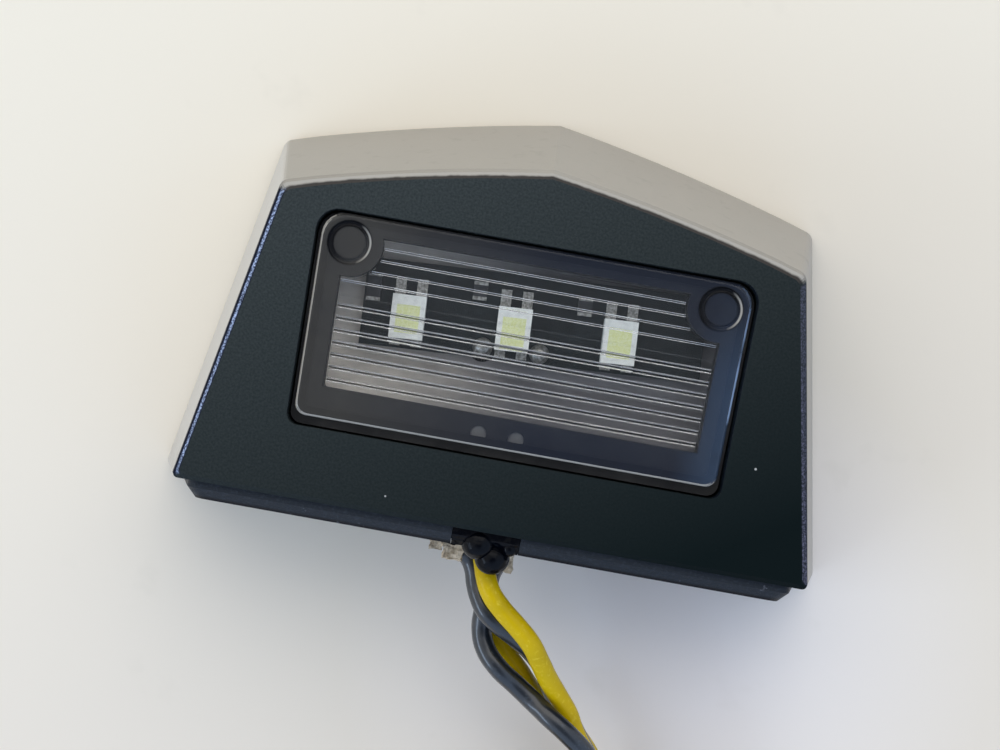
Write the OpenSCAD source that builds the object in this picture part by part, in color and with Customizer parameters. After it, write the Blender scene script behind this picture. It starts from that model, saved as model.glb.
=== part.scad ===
// Number plate lamp, lying on the flat back of its hood with the lens facing up.
// X runs across the lamp, -Y points out of the mounting side and Z out of the lens.

/* [Hood] */
// Height from the flat back to the lens face
hood_h = 18; // [17:0.5:22]
// Width of the flat back along the mounting side
back_w = 60; // [58:0.5:66]
// Width of the flat back across its front corners
back_front_w = 48.8; // [47:0.2:54]
// Distance from the mounting side to the front corners of the back
back_corner_y = 31; // [30:0.5:36]
// How far the nose stands ahead of the front corners of the back
back_nose = 5.7; // [4:0.1:8]
// Width of the lens face along the mounting side
face_w = 53.8; // [52:0.2:57]
// Width of the lens face across its front corners
face_front_w = 44.4; // [43.4:0.2:46]
// Distance from the mounting side to the front corners of the face
face_corner_y = 25.7; // [25.3:0.1:28]
// How far the nose stands ahead of the front corners of the face
face_nose = 4.7; // [3.5:0.1:6]
// Outward bulge of each of the two front panels
panel_bulge = 0.4; // [0.1:0.1:0.8]
// Radius of the two front corners
corner_r = 1; // [0.5:0.1:2]
// Rounding along the edge of the flat back
back_round = 0.6; // [0.3:0.1:1]
// Wall of the hood
shell_t = 1.8; // [1.2:0.1:2]

/* [Body] */
// Thickness of the black lip that covers the rim of the hood
lip_t = 1.6; // [1:0.1:2.2]
// Bevel round the lens face
face_bevel = 0.4; // [0.2:0.1:0.6]
// Clearance between the body and the inside of the hood
fit_gap = 0.1; // [0.05:0.05:0.2]
// Thickness of the body under the lens pocket
pocket_base = 0.6; // [0.4:0.1:2]

/* [Lens] */
// Width of the lens across its front
lens_front_w = 36.6; // [35.6:0.2:37.2]
// Width of the lens across its rear
lens_rear_w = 35.8; // [35:0.2:36.4]
// Length of the lens from rear to front
lens_l = 17.25; // [17.1:0.05:17.6]
// Distance from the mounting side to the rear edge of the lens
lens_y = 7; // [6.8:0.1:7.2]
// Thickness of the lens plate
lens_t = 1.2; // [1:0.1:1.5]
// How far the lens lies below the face
lens_recess = 0.3; // [0.1:0.1:0.5]
// Gap round the sides of the lens
lens_gap = 0.5; // [0.3:0.1:0.6]
// Gap behind the rear edge of the lens
lens_rear_gap = 0.9; // [0.6:0.1:1.1]
// Gap in front of the lens
lens_front_gap = 0.25; // [0.2:0.05:0.4]
// Radius of the front corners of the lens
lens_front_r = 1.9; // [1.2:0.1:2.2]
// Radius of the rear corners of the lens
lens_rear_r = 1; // [0.6:0.1:1.4]
// Width of the plain rim beside the window
rim_side = 2; // [1.8:0.1:2.4]
// Width of the plain rim behind the window
rim_rear = 2.65; // [2.4:0.05:3]
// Width of the plain rim in front of the window
rim_front = 1.55; // [1.4:0.05:1.7]
// Depth of the window block below the lens plate
window_t = 1; // [0.6:0.1:1.3]
// Diameter of the ring round each lens peg
ring_d = 3.6; // [3.4:0.1:3.8]
// Diameter of each lens peg
peg_d = 2.8; // [2.4:0.1:3]
// Distance of the pegs from the sides of the lens
peg_side = 2.5; // [2.4:0.1:2.7]
// Distance of the pegs behind the front edge of the lens
peg_inset = 2.4; // [2.3:0.1:2.6]
// Radius of the plain corner round each peg
peg_pad_r = 2.8; // [2.4:0.1:3]
// Pitch of the flutes
flute_pitch = 1.05; // [0.9:0.05:1.3]
// Number of closely set flutes at the rear
rear_flutes = 7; // [5:1:8]
// Radius of the closely set flutes
rear_flute_r = 0.18; // [0.1:0.02:0.4]
// Number of widely set flutes at the front
front_flutes = 4; // [2:1:4]
// Radius of the widely set flutes
front_flute_r = 0.1; // [0.06:0.02:0.3]
// Clear strip between the two groups of flutes
clear_strip = 2.15; // [1.5:0.05:2.2]

/* [Seat] */
// Thickness of the rubber seal under the lens
seal_t = 0.4; // [0.3:0.1:0.6]
// Width of the rubber seal
seal_w = 0.6; // [0.4:0.1:0.6]
// Thickness of the black frame that carries the lens
frame_t = 1.5; // [1.3:0.1:2]
// Clearance of the frame and the tray in the pocket
seat_gap = 0.15; // [0.1:0.05:0.25]
// Diameter of the two tray pins that show behind the window
pin_d = 1.3; // [1:0.1:1.5]

/* [Board] */
// Thickness of the circuit board
board_t = 1; // [0.8:0.1:1.6]
// Depth of the board's upper face below the lens face
board_depth = 6.8; // [6.4:0.1:7.2]
// Distance from the middle light to the left end of the board
board_left = 13.1; // [12.6:0.1:13.4]
// Distance from the middle light to the right end of the board
board_right = 16.4; // [15:0.1:16.6]
// Distance from the row of lights to the rear edge of the board
board_rear = 2.7; // [2.4:0.1:3]
// Distance from the row of lights to the front edge of the board
board_front = 4.8; // [4.7:0.1:5]
// Turn of the board in its tray
board_turn = 3.3; // [0:0.1:3.5]
// Distance between the lights
led_pitch = 9.1; // [8.7:0.1:9.3]
// Width of a light's white case
led_w = 2.9; // [2.4:0.1:3.1]
// Length of a light's white case
led_l = 3.75; // [3:0.05:3.9]
// Height of a light's white case
led_h = 1.9; // [1.4:0.1:2.2]

/* [Mounting] */
// Thickness of the gasket on the mounting side
gasket_t = 1.5; // [1:0.1:2.5]
// Rounding along the outer edge of the gasket
gasket_edge = 0.9; // [0.4:0.1:1]
// Distance between the two threaded inserts
insert_spacing = 30; // [28:0.5:34]
// Height of the inserts above the flat back
insert_z = 9; // [7.5:0.1:10]
// Thread hole of an insert, tapped M4
insert_bore = 3.3; // [2.5:0.1:4.2]
// Outer diameter of an insert
insert_d = 5.6; // [5:0.1:6.2]
// Length of an insert
insert_l = 5; // [4:0.1:5.4]

/* [Leads] */
// Diameter of each lead
lead_d = 1.8; // [1.5:0.1:1.8]
// Height of the lead seal above the flat back
seal_z = 10.6; // [10.2:0.1:11]
// Diameter of the seal inside the wall
plug_d = 4.7; // [4:0.1:5]
// Diameter of the seal's outer collar
collar_d = 5.6; // [5.2:0.1:5.8]
// Radius of the outer lobe of the bead of sealant
bead_r = 1.5; // [1.4:0.05:1.6]

/* [Hidden] */
$fn = 48;

lip_z = hood_h - lip_t;
body_inset = shell_t + fit_gap;
pocket_floor = body_inset + pocket_base;
lens_top = hood_h - lens_recess;
lens_bottom = lens_top - lens_t;
frame_top = lens_bottom - seal_t;
tray_top = frame_top - frame_t;
peg_x = lens_front_w / 2 - peg_side;
peg_y = lens_y + lens_l - peg_inset;
peg_lift = 0.7;
edge_r = 0.4;
cut = 1;

// The bead and the nose are the two ends of the part, and the origin lies midway between them.
bead_y = -2.1;
bead_z = seal_z + 4.7;
bead_x = 0.6;
reach_y = bead_r - bead_y;
back_tip_y = back_corner_y + back_nose;
face_tip_y = face_corner_y + face_nose;
nose_y = along(back_tip_y, face_tip_y, back_round / hood_h);
mid_y = (nose_y - reach_y) / 2;

// Board: everything on it is placed from the middle light.
led_x = -1;
led_y = lens_y + 10.2;
board_top = hood_h - board_depth;
foot_w = 0.9;
foot_h = 0.3;
front_foot_l = 1.5;
rear_foot_l = 0.6;
chip_w = 1.2;
chip_h = 0.5;
chip_cap = 0.3;
chip_side = -3.2;
chip_y = [2.3, 3, 2.7];
chip_l = [2.4, 1.6, 1.6];
tray_wall = 1.2;
tray_floor_z = board_top - board_t;
tray_floor_t = 1.2;
ramp_l = 4;
pin_x = [-2.4, 0.8];
pin_y = lens_y + 1;
window_side = 0.2;
collar_y = gasket_t + 0.2;
seal_x = -0.2;
plug_gap = 0.05;

// Round-number points that the leads follow, from the seal to their coils.
route_yellow_1 = [
    [-0.1, -1.7, 11.7], [-0.1, -2.4, 11.7], [0.1, -3.1, 12.1], [0.4, -4, 12.6], [1, -5.2, 12.8],
    [2.3, -6.6, 12.4], [3.9, -7.9, 12.1], [5.3, -9.2, 11.6], [6.3, -10.6, 10.6], [7.4, -12.2, 9.2],
    [8.7, -13.8, 8.2], [9.8, -15.2, 7.6], [10.5, -16.5, 7.3], [11.8, -18.3, 6.9], [13.9, -20.9, 6.1],
    [16, -23.4, 5.3], [17.9, -25.8, 4.7],
];
route_black_1 = [
    [-1.8, -1.7, 10.7], [-1.7, -2.3, 10.6], [-1.1, -3, 10.4], [-0.6, -3.9, 10.4], [-0.3, -4.9, 10.5],
    [0.2, -6, 10.8], [1, -7.1, 11.1], [2.2, -8, 10.9], [3.9, -9, 10], [5.4, -10, 8.9],
    [6.7, -11.3, 7.8], [7.6, -12.8, 6.9], [8.5, -14.2, 6.1], [9.8, -15.5, 5.5], [10.7, -16.8, 5.3],
    [11.9, -18.4, 5], [13.9, -20.9, 4.2], [16, -23.4, 3.4], [17.9, -25.8, 2.8],
];
route_black_2 = [
    [1.3, -1.7, 10.2], [1.4, -2.4, 10], [1.1, -3.2, 9.5], [0.8, -4.3, 8.9], [0.8, -5.7, 8.8],
    [0.8, -7.3, 8.9], [0.9, -8.9, 8.6], [1.5, -10.5, 8.8], [2.8, -11.9, 9.1], [4.8, -13.3, 8.6],
    [6.6, -14.5, 8.7], [8.2, -15.5, 9.4], [9.8, -16.5, 9.5], [11.9, -18.2, 8.9], [14, -20.8, 8.1],
    [16, -23.4, 7.2], [17.9, -25.8, 6.6],
];
route_yellow_2 = [
    [-0.1, -1.7, 9.1], [-0.1, -2.4, 8.5], [0, -3.2, 7.6], [0.3, -4.4, 6.9], [0.8, -5.8, 6.8],
    [1.4, -7.5, 6.8], [2.2, -9.2, 6.9], [3.4, -10.8, 6.8], [4.9, -12.3, 6.5], [6.2, -13.8, 5.3],
    [7.3, -14.8, 4.4], [8.9, -15.8, 3.5], [10.4, -16.9, 3.3], [12, -18.4, 3.1], [13.9, -20.9, 2.3],
    [16, -23.4, 1.4], [17.9, -25.8, 0.9],
];
lead_sides = 8;
coil_x = 11.5;
coil_y = -39.4;
coil_r = 13.3;
coil_inner_r = 8.2;
coil_pitch = 1.9;

// Inside, each lead runs from the seal to its soldered joint on the board.
joint_x = 2.45;
joint_y = -1.8;
joint_r = 0.85;
inner_start_y = 6.2;

function unit(v) = v / norm(v);
function along(a, b, t) = a + (b - a) * t;

// Arc that rounds the corner b between a and c.
function rounded(a, b, c, r, steps = 6) =
    let (
        u = unit(a - b),
        v = unit(c - b),
        half = acos(u * v) / 2,
        middle = b + unit(u + v) * r / sin(half),
        p = b + u * r / tan(half) - middle,
        q = b + v * r / tan(half) - middle,
        start = atan2(p.y, p.x),
        turn = atan2(p.x * q.y - p.y * q.x, p * q)
    )
    [for (i = [0 : steps]) middle + r * [cos(start + turn * i / steps), sin(start + turn * i / steps)]];

// Inner points of an edge from a to b that bulges outwards.
function bulged(a, b, rise, steps = 8) =
    let (side = unit([b.y - a.y, a.x - b.x]))
    [for (i = [1 : steps - 1]) along(a, b, i / steps) + side * rise * 4 * (i / steps) * (1 - i / steps)];

// Plan of the hood at a height, moved inwards by inset, with its mounting side at rear.
function plan(z, inset, rear) =
    let (
        t = z / hood_h,
        half = along(back_w, face_w, t) / 2 - inset,
        front_half = along(back_front_w, face_front_w, t) / 2 - inset,
        corner = along(back_corner_y, face_corner_y, t) - inset,
        tip = [0, corner + along(back_nose, face_nose, t)],
        rear_half = half - (half - front_half) * rear / corner,
        rear_left = [-rear_half, rear],
        rear_right = [rear_half, rear],
        front_right = [front_half, corner],
        front_left = [-front_half, corner]
    )
    concat(
        rounded(front_left, rear_left, rear_right, edge_r),
        rounded(rear_left, rear_right, front_right, edge_r),
        rounded(rear_right, front_right, tip, corner_r),
        bulged(front_right, tip, panel_bulge),
        [tip],
        bulged(tip, front_left, panel_bulge),
        rounded(tip, front_left, rear_left, corner_r)
    );

function ring_at(points, z) = [for (p = points) [p.x, p.y, z]];
function hood_ring(z, inset, rear) = ring_at(plan(z, inset, rear), z);

// Plan of the lens, moved outwards at its sides, rear and front.
function lens_plan(side, rear, front, rear_r = lens_rear_r, front_r = lens_front_r) =
    let (
        rear_left = [-lens_rear_w / 2 - side, lens_y - rear],
        rear_right = [lens_rear_w / 2 + side, lens_y - rear],
        front_right = [lens_front_w / 2 + side, lens_y + lens_l + front],
        front_left = [-lens_front_w / 2 - side, lens_y + lens_l + front]
    )
    concat(
        rounded(front_left, rear_left, rear_right, rear_r),
        rounded(rear_left, rear_right, front_right, rear_r),
        rounded(rear_right, front_right, front_left, front_r),
        rounded(front_right, front_left, rear_left, front_r)
    );

// Solid skin through rings of points that all have the same count.
module loft(rings) {
    n = len(rings[0]);
    m = len(rings);
    polyhedron(
        points = [for (ring = rings) each ring],
        faces = concat(
            [[for (i = [0 : n - 1]) i]],
            [[for (i = [n - 1 : -1 : 0]) (m - 1) * n + i]],
            [for (j = [0 : m - 2], i = [0 : n - 1]) [j * n + i, (j + 1) * n + i, (j + 1) * n + (i + 1) % n]],
            [for (j = [0 : m - 2], i = [0 : n - 1]) [j * n + i, (j + 1) * n + (i + 1) % n, j * n + (i + 1) % n]]
        )
    );
}

// Puts the mounting side behind the origin, so that the part is centred on it.
module placed() {
    translate([0, -mid_y, 0]) children();
}

module pocket_shape(gap) {
    polygon(lens_plan(lens_gap - gap, lens_rear_gap - gap, lens_front_gap - gap));
}

module window_shape(grow) {
    difference() {
        polygon(lens_plan(grow - rim_side, grow - rim_rear, grow - rim_front, 0.3, 0.6));
        for (side = [-1, 1])
            translate([side * peg_x, peg_y]) circle(r = peg_pad_r - grow);
    }
}

// Hood: a shell with a flat back, flared sides and two bulged front panels that meet in a nose.
module hood() {
    color([0.66, 0.64, 0.62]) placed() difference() {
        loft(concat(
            [for (a = [0 : 22.5 : 90]) hood_ring(
                back_round * (1 - cos(a)), back_round * (1 - sin(a)), back_round * (1 - sin(a))
            )],
            [hood_ring(lip_z, 0, 0)]
        ));
        loft([hood_ring(shell_t, shell_t, -cut), hood_ring(lip_z + cut, shell_t, -cut)]);
    }
}

// Body: the black moulding that closes the hood and holds the lens in a pocket.
module body() {
    color([0.15, 0.18, 0.18]) placed() difference() {
        union() {
            loft([hood_ring(body_inset, body_inset, 0), hood_ring(lip_z, body_inset, 0)]);
            loft([
                hood_ring(lip_z, 0, 0),
                hood_ring(hood_h - face_bevel, 0, 0),
                hood_ring(hood_h, face_bevel, face_bevel),
            ]);
        }
        translate([0, 0, pocket_floor]) linear_extrude(hood_h) pocket_shape(0);
        for (side = [-1, 1])
            translate([side * insert_spacing / 2, -cut, insert_z]) rotate([-90, 0, 0])
                cylinder(d = insert_d + 2 * plug_gap, h = insert_l + cut);
        translate([seal_x, -cut, seal_z]) rotate([-90, 0, 0])
            cylinder(d = plug_d + 2 * plug_gap, h = lens_y + cut);
    }
}

// Outline of the gasket as seen from the mounting side.
function gasket_ring(depth, inset) =
    let (
        top = lip_z + 0.6 - inset,
        low = 1 + inset,
        margin = 1.5 + inset,
        high_half = along(back_w, face_w, top / hood_h) / 2 - margin,
        low_half = along(back_w, face_w, low / hood_h) / 2 - margin
    )
    ring_at(concat(
        rounded([-high_half, top], [-low_half, low], [low_half, low], 1),
        rounded([-low_half, low], [low_half, low], [high_half, top], 1),
        rounded([low_half, low], [high_half, top], [-high_half, top], 1),
        rounded([high_half, top], [-high_half, top], [-low_half, low], 1)
    ), depth);

// Gasket: a black pad with clearance for two screws and a notch for the leads.
module base_gasket() {
    notch_w = collar_d + 0.2;
    color([0.1, 0.1, 0.11]) placed() rotate([90, 0, 0]) difference() {
        loft([gasket_ring(0, 0), gasket_ring(gasket_t - gasket_edge, 0), gasket_ring(gasket_t, gasket_edge)]);
        for (side = [-1, 1])
            translate([side * insert_spacing / 2, insert_z, -cut])
                cylinder(d = insert_bore + 1.7, h = gasket_t + 2 * cut);
        translate([seal_x, seal_z, -cut]) cylinder(d = notch_w, h = gasket_t + 2 * cut);
        translate([seal_x - notch_w / 2, seal_z, -cut]) cube([notch_w, hood_h, gasket_t + 2 * cut]);
    }
}

// Threaded insert: a brass bush let into the mounting side.
module insert(side) {
    color("goldenrod") placed()
        translate([side * insert_spacing / 2, 0, insert_z]) rotate([-90, 0, 0]) difference() {
            cylinder(d = insert_d, h = insert_l);
            translate([0, 0, -cut]) cylinder(d = insert_bore, h = insert_l + 2 * cut);
        }
}

// Tray: a pale moulding, cored out below, that carries the board and throws light off its ramp.
module reflector_tray() {
    inner_rear = lens_y + rim_rear - 0.6;
    core_h = tray_floor_z - tray_floor_t - pocket_floor;
    lead_way = 4;
    color([0.72, 0.72, 0.7]) placed() union() {
        difference() {
            translate([0, 0, pocket_floor]) linear_extrude(tray_top - pocket_floor) pocket_shape(seat_gap);
            // Light chamber above the floor
            translate([0, 0, tray_floor_z]) linear_extrude(hood_h) intersection() {
                pocket_shape(seat_gap + tray_wall);
                translate([-back_w / 2, inner_rear]) square([back_w, lens_l]);
            }
            // Hollow below the floor
            translate([0, 0, pocket_floor - cut]) linear_extrude(core_h + cut)
                pocket_shape(seat_gap + tray_wall);
            // Way in for the leads
            translate([seal_x, inner_rear - lead_way - 0.6, seal_z]) rotate([-90, 0, 0])
                cylinder(d = plug_d + 2 * plug_gap, h = lead_way);
            translate([seal_x - plug_d / 2, inner_rear - lead_way - 0.6, pocket_floor])
                cube([plug_d, lead_way, seal_z - pocket_floor]);
            for (side = [-1, 1]) on_board(side * joint_x, joint_y)
                translate([0, 0, -board_t - 2 * tray_floor_t]) cylinder(r = joint_r + 0.4, h = 2 * tray_floor_t + cut);
        }
        // Ramp behind the lights
        translate([0, inner_rear, tray_floor_z]) rotate([90, 0, 90])
            linear_extrude(lens_rear_w - 2 * tray_wall, center = true)
                polygon([[0, 0], [ramp_l, 0], [0, tray_top - tray_floor_z]]);
        // Pins that pass through the frame
        for (x = pin_x) translate([x, pin_y, tray_top - cut]) {
            cylinder(d = pin_d, h = frame_t + cut - 0.2, $fn = 24);
        }
    }
}

// Places a thing on the board, measured from the middle light.
module on_board(x, y) {
    translate([led_x, led_y, board_top]) rotate(board_turn) translate([x, y, 0]) children();
}

module circuit_board() {
    color([0.06, 0.09, 0.08]) placed() difference() {
        on_board(-board_left, -board_rear) translate([0, 0, -board_t])
            cube([board_left + board_right, board_rear + board_front, board_t]);
        for (side = [-1, 1], lead = [-1, 1])
            on_board(side * joint_x + lead * 0.45, joint_y) translate([0, 0, -board_t - cut])
                cylinder(d = 0.8, h = board_t + 2 * cut, $fn = 16);
    }
}

// Light: a white case with a square well that the phosphor fills.
module led(index) {
    color("white") placed() on_board((index - 2) * led_pitch, 0) difference() {
        translate([-led_w / 2, -led_l / 2, 0]) cube([led_w, led_l, led_h]);
        led_well(cut);
    }
}

// Well of a light, with some height added above it.
module led_well(above) {
    depth = 0.5;
    well_w = 2;
    well_l = 2.4;
    translate([-well_w / 2, -well_l / 2 - 0.2, led_h - depth]) cube([well_w, well_l, depth + above]);
}

module phosphor(index) {
    color([0.85, 0.85, 0.35]) placed() on_board((index - 2) * led_pitch, 0) led_well(0);
}

// Four soldered feet of a light, longer at its front.
module led_solder(index) {
    color([0.75, 0.75, 0.75]) placed() for (side = [-1, 1]) on_board((index - 2) * led_pitch + side * 0.93, 0) {
        translate([-foot_w / 2, led_l / 2, 0]) cube([foot_w, front_foot_l, foot_h]);
        translate([-foot_w / 2, -led_l / 2 - rear_foot_l, 0]) cube([foot_w, rear_foot_l, foot_h]);
    }
}

// Dark middle of the chip resistor beside a light.
module resistor(index) {
    body_l = chip_l[index - 1] - 2 * chip_cap;
    color([0.12, 0.12, 0.13]) placed() on_board((index - 2) * led_pitch + chip_side, chip_y[index - 1])
        translate([-chip_w / 2, -body_l / 2, 0]) cube([chip_w, body_l, chip_h]);
}

// Bright soldered ends of the three chip resistors.
module chip_caps() {
    color([0.8, 0.8, 0.8]) placed() for (index = [1 : 3], end = [-1, 1])
        on_board((index - 2) * led_pitch + chip_side, chip_y[index - 1] + end * (chip_l[index - 1] - chip_cap) / 2)
            translate([-chip_w / 2, -chip_cap / 2, 0]) cube([chip_w, chip_cap, chip_h]);
}

// Soldered joint that takes the two leads of one colour.
module joint(side) {
    color([0.8, 0.8, 0.78]) placed() on_board(side * joint_x, joint_y) intersection() {
        sphere(r = joint_r, $fn = 24);
        translate([-2, -2, 0]) cube([4, 4, 2]);
    }
}

// Frame: the black seat of the lens, with a blind hole for each lens peg and a hole for each tray pin.
module seat_frame() {
    color([0.08, 0.08, 0.09]) placed() translate([0, 0, tray_top]) difference() {
        linear_extrude(frame_t) difference() {
            pocket_shape(seat_gap);
            window_shape(0);
        }
        for (side = [-1, 1]) translate([side * peg_x, peg_y, peg_lift - 0.1])
            cylinder(d = ring_d + 0.2, h = frame_t);
        for (x = pin_x) translate([x, pin_y, -cut]) cylinder(d = pin_d + 0.1, h = frame_t + 2 * cut, $fn = 24);
    }
}

module lens_seal() {
    seal_in = 0.2;
    inner = seal_in + seal_w;
    color([0.05, 0.05, 0.05]) placed() translate([0, 0, frame_top]) linear_extrude(seal_t) difference() {
        polygon(lens_plan(-seal_in, -seal_in, -seal_in));
        polygon(lens_plan(-inner, -inner, -inner, lens_rear_r / 2, lens_front_r / 2));
    }
}

// Row of ridges across the window, on its inner side.
module flutes(start_y, count, radius) {
    for (i = [0 : count - 1])
        translate([0, start_y + i * flute_pitch, lens_bottom - window_t]) rotate([0, 90, 0])
            cylinder(r = radius, h = lens_front_w, center = true, $fn = 24);
}

// Lens: a clear plate with a rounded edge, two ringed pegs and a fluted window.
module lens() {
    edge = 0.3;
    groove_r = (ring_d - peg_d) / 3;
    rear_y = lens_y + rim_rear + flute_pitch * 0.6;
    front_y = rear_y + (rear_flutes - 1) * flute_pitch + clear_strip;
    color([0.8, 0.85, 0.9, 0.4]) placed() {
        difference() {
            loft(concat([ring_at(lens_plan(0, 0, 0), lens_bottom)], [for (a = [0 : 22.5 : 90])
                let (inset = edge * (cos(a) - 1))
                ring_at(lens_plan(inset, inset, inset), lens_top - edge * (1 - sin(a)))
            ]));
            for (side = [-1, 1]) translate([side * peg_x, peg_y, lens_top]) rotate_extrude()
                translate([(ring_d + peg_d) / 4, 0]) circle(r = groove_r, $fn = 24);
        }
        for (side = [-1, 1]) translate([side * peg_x, peg_y, tray_top + peg_lift])
            cylinder(d = peg_d, h = lens_bottom - tray_top - peg_lift);
        intersection() {
            translate([0, 0, tray_top]) linear_extrude(lens_bottom - tray_top) window_shape(-window_side);
            union() {
                translate([-lens_front_w / 2, lens_y, lens_bottom - window_t])
                    cube([lens_front_w, lens_l, window_t]);
                flutes(rear_y, rear_flutes, rear_flute_r);
                flutes(front_y, front_flutes, front_flute_r);
            }
        }
    }
}

// Seal: the rubber plug in the wall, its collar, the filled notch and a lumpy bead of sealant on top.
module cable_seal() {
    fill_top = lip_z + 0.6;
    fill_w = collar_d + 0.1;
    color([0.04, 0.04, 0.05]) placed() {
        translate([seal_x, 0, seal_z]) rotate([-90, 0, 0]) cylinder(d = plug_d, h = inner_start_y);
        translate([seal_x, 0, seal_z]) rotate([90, 0, 0]) cylinder(d = collar_d, h = collar_y);
        translate([seal_x - fill_w / 2, 0, 0]) rotate([90, 0, 90]) linear_extrude(fill_w) polygon([
            [0, seal_z], [-gasket_t, seal_z], [-gasket_t, fill_top - gasket_edge],
            [gasket_edge - gasket_t, fill_top], [0, fill_top],
        ]);
        difference() {
            union() {
                translate([bead_x, bead_y, bead_z]) sphere(r = bead_r);
                translate([bead_x - 1.35, bead_y + 1.05, bead_z + 0.6]) sphere(r = bead_r - 0.05);
                translate([bead_x - 0.7, bead_y + 0.9, bead_z - 1.1]) sphere(r = bead_r + 0.1);
                translate([bead_x + 1.3, bead_y + 1.05, bead_z + 0.8]) sphere(r = 0.7);
            }
            translate([-hood_h / 2, 0, 0]) cube(hood_h);
        }
    }
}

// Scrap of foam tape left on the mounting side.
module foam(points, z, height) {
    color([0.74, 0.66, 0.52]) placed() translate([0, 0, z]) linear_extrude(height) polygon(points);
}

// Ring of a tube of eight sides, square to its route at point i. It starts flat against the seal.
function tube_ring(route, i, radius, up) =
    let (
        ahead = route[min(i + 1, len(route) - 1)] - route[max(i - 1, 0)],
        direction = i == 0 ? [0, sign(ahead.y), 0] : unit(ahead),
        side = unit(cross(direction, up)),
        rise = cross(side, direction)
    )
    [for (k = [0 : lead_sides - 1]) let (a = 360 * k / lead_sides) route[i] + radius * (cos(a) * side + sin(a) * rise)];

module tube(route, d, up) {
    loft([for (i = [0 : len(route) - 1]) tube_ring(route, i, d / 2, up)]);
}

module lead(route, tint) {
    color(tint) placed() tube(route, lead_d, [0, 0, 1]);
}

// Outer shape of one lead's flat coil, in its own layer of the stack.
module coil(layer, tint) {
    color(tint) placed() translate([coil_x, coil_y, layer * coil_pitch]) rotate_extrude()
        translate([coil_inner_r, 0]) square([coil_r + lead_d / 2 - coil_inner_r, lead_d]);
}

// Stretch of a lead inside the tray, from the seal up to the underside of the board.
module inner_lead(side, step, tint) {
    end = [
        led_x + (side * joint_x + step * 0.45) * cos(board_turn) - joint_y * sin(board_turn),
        led_y + (side * joint_x + step * 0.45) * sin(board_turn) + joint_y * cos(board_turn),
    ];
    start = [seal_x + side * 1.1, inner_start_y, seal_z + step * 1.05];
    core_d = 0.7;
    low = tray_floor_z - tray_floor_t - 2;
    path = [
        start,
        [start.x, start.y + 0.4, start.z],
        [start.x, start.y + 1.3, min(start.z, low + 2.1 + 0.7 * step)],
        [along(start.x, end.x, 0.2), start.y + 2.2, min(start.z, low + 0.8 + 0.5 * step)],
        [along(start.x, end.x, 0.8), along(start.y, end.y, 0.8), low + 0.2 * step],
        [end.x, end.y - 0.3, low + 0.2],
        [end.x, end.y, low + 0.8],
        [end.x, end.y, board_top],
    ];
    color(tint) placed() tube(path, core_d, [1, 0, 0]);
}

yellow = [0.85, 0.75, 0.05];
black = [0.1, 0.11, 0.13];

hood();
body();
base_gasket();
insert(-1);  // insert_left
insert(1);  // insert_right
reflector_tray();
circuit_board();
led(1);  // led_1
led(2);  // led_2
led(3);  // led_3
phosphor(1);  // phosphor_1
phosphor(2);  // phosphor_2
phosphor(3);  // phosphor_3
led_solder(1);  // led_solder_1
led_solder(2);  // led_solder_2
led_solder(3);  // led_solder_3
resistor(1);  // resistor_1
resistor(2);  // resistor_2
resistor(3);  // resistor_3
chip_caps();
joint(1);  // joint_yellow
joint(-1);  // joint_black
seat_frame();
lens_seal();
lens();
cable_seal();
foam([[-3.6, -1.7], [-2, -1.7], [-1.9, -3], [-3.5, -3.1]], seal_z + 1.1, 1.4);  // foam_left
foam([[-4.8, -1.5], [-3.7, -1.5], [-4, -2.5]], seal_z + 1.3, 1);  // foam_scrap
foam([[1.6, -1.7], [2.5, -1.7], [2.4, -2.9], [2.2, -3.5], [1.3, -3.3], [1.5, -2.2]], seal_z + 0.7, 1.3);  // foam_right
inner_lead(1, 1, yellow);  // inner_yellow_1
inner_lead(1, -1, yellow);  // inner_yellow_2
inner_lead(-1, 1, black);  // inner_black_1
inner_lead(-1, -1, black);  // inner_black_2
lead(route_yellow_1, yellow);  // lead_yellow_1
lead(route_yellow_2, yellow);  // lead_yellow_2
lead(route_black_1, black);  // lead_black_1
lead(route_black_2, black);  // lead_black_2
coil(2, yellow);  // coil_yellow_1
coil(0, yellow);  // coil_yellow_2
coil(1, black);  // coil_black_1
coil(3, black);  // coil_black_2
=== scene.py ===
"""Number plate lamp: finishes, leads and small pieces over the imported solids, with a stage and a camera."""
import math

import bpy
from mathutils import Matrix, Vector


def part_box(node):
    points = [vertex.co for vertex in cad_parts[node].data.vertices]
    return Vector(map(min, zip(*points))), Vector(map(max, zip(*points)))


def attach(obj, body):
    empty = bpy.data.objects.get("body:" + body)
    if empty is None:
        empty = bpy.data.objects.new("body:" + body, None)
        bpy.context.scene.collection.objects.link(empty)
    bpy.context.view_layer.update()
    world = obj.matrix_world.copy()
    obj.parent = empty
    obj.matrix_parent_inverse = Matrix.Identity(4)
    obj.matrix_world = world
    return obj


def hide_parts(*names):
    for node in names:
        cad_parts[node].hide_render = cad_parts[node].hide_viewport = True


bl_info = {
    "name": "Number plate lamp",
    "version": (1, 0, 0),
    "blender": (4, 5, 0),
    "location": "3D View > Sidebar > Lamp",
    "description": "Dresses a small number plate lamp and sets it on a pale table",
    "category": "Object",
}

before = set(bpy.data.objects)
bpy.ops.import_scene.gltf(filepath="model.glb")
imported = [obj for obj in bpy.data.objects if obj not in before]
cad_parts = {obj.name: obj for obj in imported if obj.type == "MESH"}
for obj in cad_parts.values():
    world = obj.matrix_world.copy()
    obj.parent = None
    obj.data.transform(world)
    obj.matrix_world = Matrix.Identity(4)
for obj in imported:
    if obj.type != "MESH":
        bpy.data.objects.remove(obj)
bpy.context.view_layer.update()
MM = 0.001

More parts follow.
